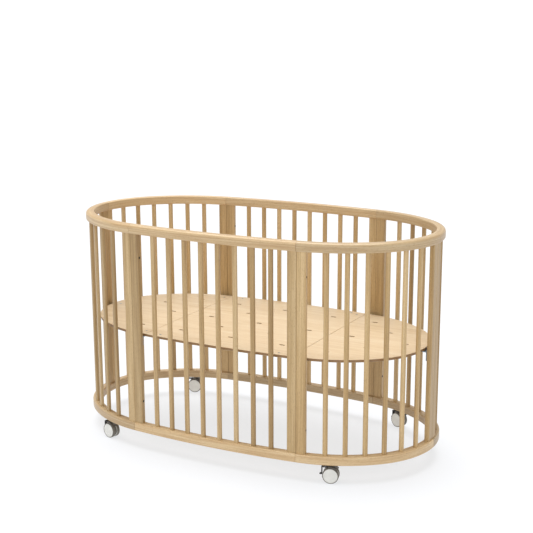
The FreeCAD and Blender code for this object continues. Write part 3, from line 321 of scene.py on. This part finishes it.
SHOULDER_R, END_R = oval_radii()
RADII = np.array([SIDE_R, SHOULDER_R, END_R])
CENTRES = np.array([[0, WIDTH / 2 - SIDE_R]] * 3, dtype=float)
CENTRES[1] += (SIDE_R - SHOULDER_R) * np.array([math.sin(TURN_1), math.cos(TURN_1)])
CENTRES[2] = CENTRES[1] + (SHOULDER_R - END_R) * np.array([math.sin(TURN_2), math.cos(TURN_2)])
SIDE_HALF = SIDE_R * TURN_1
SHOULDER = SHOULDER_R * (TURN_2 - TURN_1)
QUARTER = SHOULDER + END_R * (math.pi / 2 - TURN_2)
print("radii %.3f %.3f %.3f m, quarter %.3f m" % (*RADII, QUARTER))


def on_oval(run):
    """Centre, outer radius and heading of the arc that each run along the outer face falls on."""
    run = np.asarray(run, dtype=float)
    arc = np.where(run <= SIDE_HALF, 0, np.where(run <= SIDE_HALF + SHOULDER, 1, 2))
    start = np.array([0, SIDE_HALF, SIDE_HALF + SHOULDER])[arc]
    turn = np.array([0, TURN_1, TURN_2])[arc] + (run - start) / RADII[arc]
    return CENTRES[arc], RADII[arc], turn


# %% Rail profile and sweep
def rounded_profile(wide, tall, r_low, r_out, r_in, steps=7):
    """Closed loop of a rounded rectangle: (depth from the inner face, height), from the low outer corner."""
    corners = [(wide - r_low, r_low, r_low, -90, 0), (wide - r_out, tall - r_out, r_out, 0, 90),
               (r_in, tall - r_in, r_in, 90, 180), (r_low, r_low, r_low, 180, 270)]
    loop = []
    for cx, cy, r, a, b in corners:
        t = np.radians(np.linspace(a, b, steps))
        loop.append(np.column_stack([cx + r * np.cos(t), cy + r * np.sin(t)]))
    return np.vstack(loop)


def inset_loop(loop, amount):
    """The loop drawn in towards its middle by a fixed distance on each side."""
    middle = (loop.max(0) + loop.min(0)) / 2
    half = (loop.max(0) - loop.min(0)) / 2
    return middle + (loop - middle) * (half - amount) / half


EASE = 0.5 * MM            # how far the sawn edge at a seam is eased
RAIL_W = 31 * MM           # rail, inside to outside


def rail_grid(start, stop, loop, base, step=0.012):
    """Sweep of the profile from start to stop along the oval; each end ring is drawn in to ease the edge."""
    inner = np.linspace(start + EASE, stop - EASE, max(4, int((stop - start) / step)))
    runs = np.concatenate([[start], inner, [stop]])
    centre, radius, turn = on_oval(runs)
    rings = np.repeat(loop[None], len(runs), axis=0)
    rings[0] = rings[-1] = inset_loop(loop, EASE)
    inset = RAIL_W - rings[:, :, 0]
    r = radius[:, None] - inset
    x = centre[:, None, 0] + r * np.sin(turn)[:, None]
    y = centre[:, None, 1] + r * np.cos(turn)[:, None]
    z = base + rings[:, :, 1]
    grain = np.stack([np.repeat(runs[:, None], loop.shape[0], 1), inset, rings[:, :, 1]], axis=-1)
    return np.stack([x, y, z], axis=-1), grain


def grid_faces(rows, cols):
    """Quads of a grid whose columns close into a loop."""
    i, j = np.meshgrid(np.arange(rows - 1), np.arange(cols), indexing="ij")
    k = (j + 1) % cols
    quads = [i * cols + j, (i + 1) * cols + j, (i + 1) * cols + k, i * cols + k]
    return np.stack(quads, axis=-1).reshape(-1, 4)


def add_piece(name, verts, faces, materials, node, grain=None, which=None, smooth_angle=35):
    """Mesh object standing for a CAD node; which picks each face's material; sharp edges exceed the angle."""
    mesh = bpy.data.meshes.new(name)
    mesh.from_pydata(verts.tolist(), [], [list(map(int, f)) for f in faces])
    mesh.validate()
    if grain is not None:
        layer = mesh.attributes.new("grain", "FLOAT_VECTOR", "POINT")
        layer.data.foreach_set("vector", np.asarray(grain, dtype=np.float32).ravel())
    for material in materials:
        mesh.materials.append(material)
    if which is not None:
        mesh.polygons.foreach_set("material_index", np.asarray(which, dtype=np.int32))
    obj = bpy.data.objects.new(name, mesh)
    bpy.context.scene.collection.objects.link(obj)
    mesh.shade_smooth()
    mesh.set_sharp_from_angle(angle=math.radians(smooth_angle))
    body = [b for b, nodes in frame["record"]["behaviour"]["bodies"].items() if node in nodes][0]
    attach(obj, body)
    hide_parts(node)
    return obj


# %% [markdown]
# Each of the twelve rails is a different board, so each gets its own offset in the grain field; without it
# two neighbours would show one continuous figure across the seam, which no joiner could make.

# %% The twelve rails
GAP = 0.3 * MM             # from each rail end to the seam
# height, rounding of the lower edges, of the outer upper edge and of the inner upper edge
TOP = rounded_profile(RAIL_W, 32 * MM, 6 * MM, 11 * MM, 4 * MM)
BOTTOM = rounded_profile(RAIL_W, 30 * MM, 3 * MM, 4 * MM, 4 * MM)
BOARD_STEP, BOARD_ASIDE = 2.3, 0.71    # along and across the grain field, from one board to the next, m
TOP_STACK = 11                         # and along it again for the boards of the top rails, m
SPANS = {"side": (-SIDE_HALF + GAP, SIDE_HALF - GAP), "end": (SIDE_HALF + GAP, SIDE_HALF + QUARTER - GAP)}
PANELS = {"back": ("side", 1, 1), "front": ("side", -1, -1), "back_right": ("end", 1, 1),
          "front_left": ("end", -1, -1), "back_left": ("end", -1, 1), "front_right": ("end", 1, -1)}
# Painted shade: the back and back-right bottom rails (deepest tone) and the back-left one (deep tone) are
# darkened because they lie in the shadow of the base. The other entries are board tones.
RAIL_TONE = {"top_rail_back_left": "pale", "top_rail_back_right": "deep", "top_rail_front_right": "deep",
             "bottom_rail_front": "pale", "bottom_rail_front_right": "pale", "bottom_rail_front_left": "deep",
             "bottom_rail_back": "deepest_painted_shade", "bottom_rail_back_left": "deep", "bottom_rail_back_right": "deepest_painted_shade"}
for level, profile in (("top", TOP), ("bottom", BOTTOM)):
    for number, (panel, (kind, sx, sy)) in enumerate(PANELS.items()):
        node = "%s_rail_%s" % (level, panel)
        points, grain = rail_grid(*SPANS[kind], profile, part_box(node)[0][2])
        rows, cols = points.shape[:2]
        faces = [list(f) for f in grid_faces(rows, cols)]
        faces += [list(range(cols)), list(range((rows - 1) * cols, rows * cols))[::-1]]
        if sx * sy < 0:
            faces = [f[::-1] for f in faces]
        verts = points.reshape(-1, 3) * np.array([sx, sy, 1.0])
        along = number * BOARD_STEP + (TOP_STACK if level == "top" else 0)
        offset = np.array([along, number * BOARD_ASIDE, 0.0])
        add_piece("rail_" + level + "_" + panel, verts, faces, [RAIL_WOOD[RAIL_TONE.get(node, "even")]], node,
                  grain.reshape(-1, 3) + offset)
print("rails ready")

# %% [markdown]
# A twin-wheel caster has two moulded hub discs with a softer tread cast round each. One profile turned about
# the axle makes a wheel, so it is written as a list of radius and depth, and numpy turns the whole list at
# once. The tread ends in a fine groove, and that place in the profile is also where the material changes. The
# joint that rolls the wheels gives the axle's place and direction.

# %% Wheel profile
RADIUS = 28.0              # this and the next four lines are in mm
INNER_FACE = 3.62          # depths are measured from the middle plane of the pair
BORE_R, BORE_END = 3.06, 14.1
TREAD_IN, TREAD_OUT = 4.6, 13.6
HUB_DEPTH, HUB_CROWN = 15.7, 0.55


def wheel_profile(radius=RADIUS):
    """Radius and depth, from the blind axle bore over inner face, tread and hub disc to the hub cap's middle."""
    t = np.radians(np.linspace(0, 78, 8))
    tread_s = np.linspace(TREAD_IN, TREAD_OUT, 7)
    middle, half = (TREAD_IN + TREAD_OUT) / 2, (TREAD_OUT - TREAD_IN) / 2
    crown = radius - 0.25 * ((tread_s - middle) / half) ** 2
    shoulder = np.column_stack([radius - 3.0 + 2.75 * np.cos(t), TREAD_OUT + 3.0 * np.sin(t)])
    hub_r = np.linspace(radius - 3.8, 6.2, 9)
    hub = np.column_stack([hub_r, HUB_DEPTH + HUB_CROWN * (1 - (hub_r / hub_r[0]) ** 2)])
    cap_r = np.array([6.0, 5.4, 4.6, 3.0, 1.5, 0.0])
    cap = np.column_stack([cap_r, [16.15, 16.45, 16.52, 16.56, 16.58, 16.6]])
    bore = [[0.0, BORE_END], [BORE_R, BORE_END], [BORE_R, INNER_FACE]]
    inner = np.array(bore + [[r, INNER_FACE] for r in (8.0, radius - 3.0, radius - 1.0)])
    groove = radius - np.array([2.8, 3.0, 3.6])
    groove = np.column_stack([groove, [16.58, 15.5, 15.4]])
    parts = [inner, np.column_stack([crown, tread_s]), shoulder[1:], groove, hub, cap]
    profile = np.vstack(parts) * MM
    return profile, len(inner), len(inner) + len(crown) + len(shoulder) - 1 + 2


PROFILE, TREAD_FROM, TREAD_TO = wheel_profile()
print("wheel profile:", len(PROFILE), "points, tread", TREAD_FROM, "to", TREAD_TO)


# %% Wheel pairs
def turned_wheel(centre, axis, side, around=72):
    """Wheel turned about its axis: centre + axis * depth + (up * cos + across * sin) * radius, ends as fans."""
    axis = np.array(axis) / np.linalg.norm(axis)
    up, across = np.array([0, 0, 1.0]), np.cross(axis, [0, 0, 1.0])
    t = np.linspace(0, 2 * np.pi, around, endpoint=False)
    spoke = up * np.cos(t)[:, None] + across * np.sin(t)[:, None]
    body = PROFILE[1:-1]
    rings = np.array(centre) + axis * side * body[:, None, 1:2] + spoke[None] * body[:, None, 0:1]
    points = rings.reshape(-1, 3)
    poles = np.array(centre) + axis * side * PROFILE[[0, -1], 1][:, None]
    faces = [list(f) for f in grid_faces(len(body), around)]
    which = [1 if TREAD_FROM - 2 <= f[0] // around < TREAD_TO - 2 else 0 for f in faces]
    first, last = len(points), len(points) + 1
    ring = np.arange(around)
    near = [[first, j, (j + 1) % around] for j in ring]
    far = [[last, (len(body) - 1) * around + (j + 1) % around, (len(body) - 1) * around + j] for j in ring]
    faces, which = faces + near + far, which + [0] * (2 * around)
    return np.vstack([points, poles]), faces, which


def outward(verts, faces):
    """True if the closed surface holds a positive volume: a . (b x c), summed over a fan of each face."""
    fans = np.array([(f[0], b, c) for f in faces for b, c in zip(f[1:-1], f[2:])])
    a, b, c = verts[fans].transpose(1, 0, 2)
    return float((a * np.cross(b, c)).sum()) > 0


JOINTS = {j["name"]: j for j in frame["record"]["behaviour"]["joints"]}
for corner in ("front_left", "front_right", "back_left", "back_right"):
    roll = JOINTS["roll_" + corner]
    verts, faces, which = np.zeros((0, 3)), [], []
    for side in (-1, 1):
        v, f, w = turned_wheel(roll["pos_m"], roll["axis"], side)
        if not outward(v - v.mean(0), f):
            f = [x[::-1] for x in f]
        faces += [[i + len(verts) for i in x] for x in f]
        verts, which = np.vstack([verts, v]), which + w
    add_piece("wheels_" + corner, verts, faces, [HUB, TREAD], "caster_%s_wheels" % corner,
              which=which)
print("wheels ready")

# %% [markdown]
# Posts, slats and the base keep their CAD shape, which already has the rounded edges, the bolt holes and the
# slots. They only need wood. The halves of a double post come from different boards, so that the seam shows.

# %% Wood on the remaining panels
def dress(node, material):
    """Gives every material slot of a CAD node this material."""
    obj = NODES[node]
    if not obj.material_slots:
        obj.data.materials.append(material)
    for slot in obj.material_slots:
        slot.material = material


POST_TONE = {"post_front_right_outer": "pale", "post_back_left_inner": "pale", "post_back_left_outer": "pale",
             "post_front_left_inner": "deep", "post_left_end_back": "pale", "post_left_end_front": "pale"}
SLAT_TONE = {"slats_front_left": "deep", "slats_front_right": "pale",
             "slats_back": "pale", "slats_back_left": "pale"}
for node in NODES:
    if node.startswith("post_"):
        dress(node, POST_WOOD[POST_TONE.get(node, "even")])
    elif node.startswith("slats_"):
        dress(node, SLAT_WOOD[SLAT_TONE.get(node, "even")])
    elif node in ("base_left", "base_middle", "base_right"):
        dress(node, PLYWOOD)
    elif node.endswith(("_stem", "_axle", "_bolts", "_nuts", "_screws", "_brackets")):
        dress(node, STEEL)
    elif node.endswith("_housing"):
        dress(node, HOOD)
    elif node.endswith("_brake"):
        dress(node, LEVER)
    elif node.endswith("_caps"):
        dress(node, CAP_WITH_PAINTED_HOLE_SHADE)
print("dressed", len(NODES), "nodes")

# %% [markdown]
# The set is a product photographer's table: white acrylic lit from below, a pale backdrop and broad soft
# light from overhead. The table's own glow keeps the shadow under the crib light and neutral, while the
# overhead panel still makes upward faces paler than upright ones. The camera stands about four metres away, a
# little above the rail, with a lens long enough to keep the uprights nearly parallel.

# %% Floor, light and camera
REACH = 30.0               # half the side of the floor, m
corners = [(-REACH, -REACH, 0), (REACH, -REACH, 0), (REACH, REACH, 0), (-REACH, REACH, 0)]
floor_mesh = bpy.data.meshes.new("floor")
floor_mesh.from_pydata(corners, [], [(0, 1, 2, 3)])
floor = bpy.data.objects.new("floor", floor_mesh)
bpy.context.scene.collection.objects.link(floor)
TABLE = (0.23, 0.232, 0.24, 1)          # what the acrylic sends back of the light from above
TABLE_GLOW = (0.968, 0.982, 1.0, 1)     # colour and strength of the light that comes through it
TABLE_STRENGTH = 0.71
acrylic, acrylic_shader = new_material("acrylic_floor_white_backlit")
acrylic_shader.inputs["Base Color"].default_value = TABLE
acrylic_shader.inputs["Roughness"].default_value = 0.9
acrylic_shader.inputs["Specular IOR Level"].default_value = 0.1
acrylic_shader.inputs["Emission Color"].default_value = TABLE_GLOW
acrylic_shader.inputs["Emission Strength"].default_value = TABLE_STRENGTH
floor_mesh.materials.append(acrylic)

world = bpy.data.worlds.new("studio")
bpy.context.scene.world = world
world.use_nodes = True
world.node_tree.nodes.clear()
direction = add(world, "TexCoord").outputs["Generated"]
height = add(world, "SeparateXYZ", {"Vector": direction}).outputs["Z"]
HORIZON, OVERHEAD = 1.05, 0.50    # brightness of the backdrop and of the room above it
glow = add(world, "MapRange", {"Value": height, "From Min": 0.06, "From Max": 0.22,
                               "To Min": HORIZON, "To Max": OVERHEAD})
backdrop = add(world, "Background", {"Color": (1.0, 1.0, 1.0, 1.0), "Strength": glow.outputs[0]})
add(world, "OutputWorld", {"Surface": backdrop.outputs[0]})


def soft_sun(name, towards, spread, strength):
    """Even light from a wide panel far away; spread is the angle that the panel fills, in degrees."""
    data = bpy.data.lights.new(name, "SUN")
    data.angle = math.radians(spread)
    data.energy = strength
    lamp = bpy.data.objects.new(name, data)
    lamp.rotation_euler = Vector(towards).to_track_quat("-Z", "Y").to_euler()
    bpy.context.scene.collection.objects.link(lamp)


soft_sun("overhead", (0.18, -0.14, -1.0), 50, 3.3)
soft_sun("front_fill", (-0.15, 0.9, -0.45), 60, 0.62)

FILM = 36.0                # film width and lens, mm
LENS = 78.4064
SHIFT = (-0.030450, 0.031820)     # the frame sits a little off the lens's axis, as a share of the film
EYE = (1.9856, -3.6009, 1.566)    # where the camera stands, m
TILT, PAN = 13.556, 27.668        # how far it looks down, and how far it is turned aside, degrees
camera_data = bpy.data.cameras.new("camera")
camera_data.sensor_width = FILM
camera_data.lens = LENS
camera_data.shift_x, camera_data.shift_y = SHIFT
camera = bpy.data.objects.new("camera", camera_data)
camera.location = EYE
camera.rotation_euler = (math.radians(90 - TILT), 0, math.radians(PAN))
bpy.context.scene.collection.objects.link(camera)
bpy.context.scene.camera = camera
bpy.context.scene.view_settings.view_transform = "Standard"
print("camera at", EYE, "lens", LENS, "mm")
